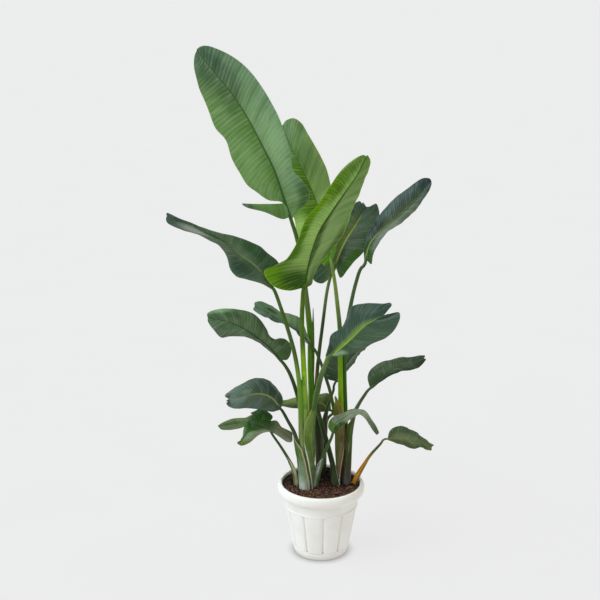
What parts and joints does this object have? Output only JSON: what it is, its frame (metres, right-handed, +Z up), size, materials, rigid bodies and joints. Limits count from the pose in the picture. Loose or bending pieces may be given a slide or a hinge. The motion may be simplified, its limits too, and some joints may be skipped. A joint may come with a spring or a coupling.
{
  "type": "potted bird of paradise",
  "caption": "Bird of paradise house plant: long leaf stalks rise in clasped shoots from the soil of a white fluted plastic pot and carry broad ribbed blades.",
  "frame": {"origin": "centre of the pot's underside, the flat face it stands on", "axes": "+Z up along the pot and the plant, +X right and -Y to the viewer as in the picture, metres"},
  "size_m": [0.6903, 0.4638, 1.4059],
  "materials": {
    "pot_plastic": "satin white",
    "soil": "loose, dark and coarse, with tan flecks",
    "green_stalk": "smooth, slightly waxy",
    "brown_stalk": "dry, dull",
    "light_leaf": "satin, ribbed by fine veins",
    "mid_leaf": "satin, ribbed by fine veins",
    "dark_leaf": "glossy, ribbed by fine veins",
    "slate_leaf": "glossy blue-green, ribbed by fine veins"
  },
  "bodies": {
    "root": {"pot": "pot_plastic", "soil": "soil", "left_shoot": "green_stalk", "back_shoot": "brown_stalk", "right_shoot": "green_stalk", "slate_leaf_stalk": "green_stalk", "drooping_leaf_stalk": "green_stalk", "front_left_leaf_stalk": "green_stalk", "low_right_leaf_stalk": "green_stalk", "tall_leaf_blade": "mid_leaf", "tall_back_leaf_blade": "light_leaf", "bright_front_leaf_blade": "light_leaf", "slate_leaf_blade": "slate_leaf", "upper_right_leaf_blade": "slate_leaf", "middle_right_leaf_blade": "dark_leaf", "long_left_leaf_blade": "dark_leaf", "middle_left_leaf_blade": "mid_leaf", "small_back_leaf_blade": "mid_leaf", "lower_right_leaf_blade": "dark_leaf", "low_right_leaf_blade": "dark_leaf", "drooping_leaf_blade": "slate_leaf", "lower_left_leaf_blade": "dark_leaf", "back_left_leaf_blade": "mid_leaf", "front_left_leaf_blade": "dark_leaf", "hidden_right_leaf_blade": "dark_leaf"}
  },
  "joints": []
}
